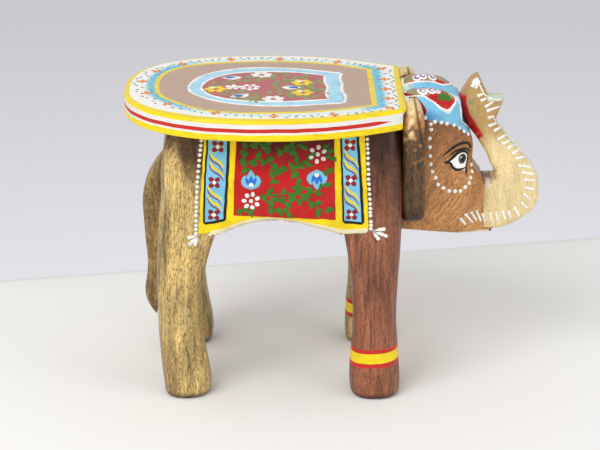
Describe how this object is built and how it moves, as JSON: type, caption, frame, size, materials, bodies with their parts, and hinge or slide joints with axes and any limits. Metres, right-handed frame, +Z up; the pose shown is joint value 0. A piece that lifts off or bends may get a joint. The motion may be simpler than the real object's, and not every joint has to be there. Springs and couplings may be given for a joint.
{
  "type": "elephant stool",
  "caption": "Low wooden stool: a rounded painted seat board carried on the back of a carved standing elephant whose raised trunk curls up before its forehead.",
  "frame": {"origin": "on the floor, in the middle of the stool's overall length and width", "axes": "+X the way the elephant faces, +Y its left side, +Z up"},
  "size_m": [0.2866, 0.16, 0.2151],
  "materials": {
    "seat_wood": "gloss enamel ground over mango wood",
    "body_wood": "stained and varnished mango wood",
    "red_brown_wood": "stained reddish brown, varnished",
    "golden_wood": "golden heartwood with dark streaks, varnished",
    "pale_leg_wood": "light sapwood, varnished",
    "head_wood": "stained warm brown, varnished",
    "pale_wood": "pale sapwood, varnished",
    "ear_wood": "dark olive brown, varnished",
    "dowel_wood": "bare turned hardwood",
    "screw_steel": "plain zinc plated",
    "enamel_white": "brushed gloss enamel paint on wood",
    "enamel_yellow": "brushed gloss enamel paint on wood",
    "enamel_red": "brushed gloss enamel paint on wood",
    "enamel_sky_blue": "brushed gloss enamel paint on wood",
    "enamel_blue": "brushed gloss enamel paint on wood",
    "enamel_green": "brushed gloss enamel paint on wood",
    "enamel_black": "brushed gloss enamel paint on wood"
  },
  "bodies": {
    "root": {"seat_board": "seat_wood", "body_block": "body_wood", "front_leg_left": "pale_leg_wood", "front_leg_right": "red_brown_wood", "hind_leg_left": "pale_leg_wood", "hind_leg_right": "golden_wood", "head_block": "head_wood", "trunk": "pale_wood", "ear_left": "ear_wood", "ear_right": "ear_wood", "tail": "golden_wood", "front_leg_dowels": "dowel_wood", "hind_leg_dowels": "dowel_wood", "head_dowels": "dowel_wood", "trunk_dowel": "dowel_wood", "ear_dowels": "dowel_wood", "tail_dowel": "dowel_wood", "seat_screws": "screw_steel", "seat_screw_plugs": "dowel_wood"}
  },
  "joints": []
}
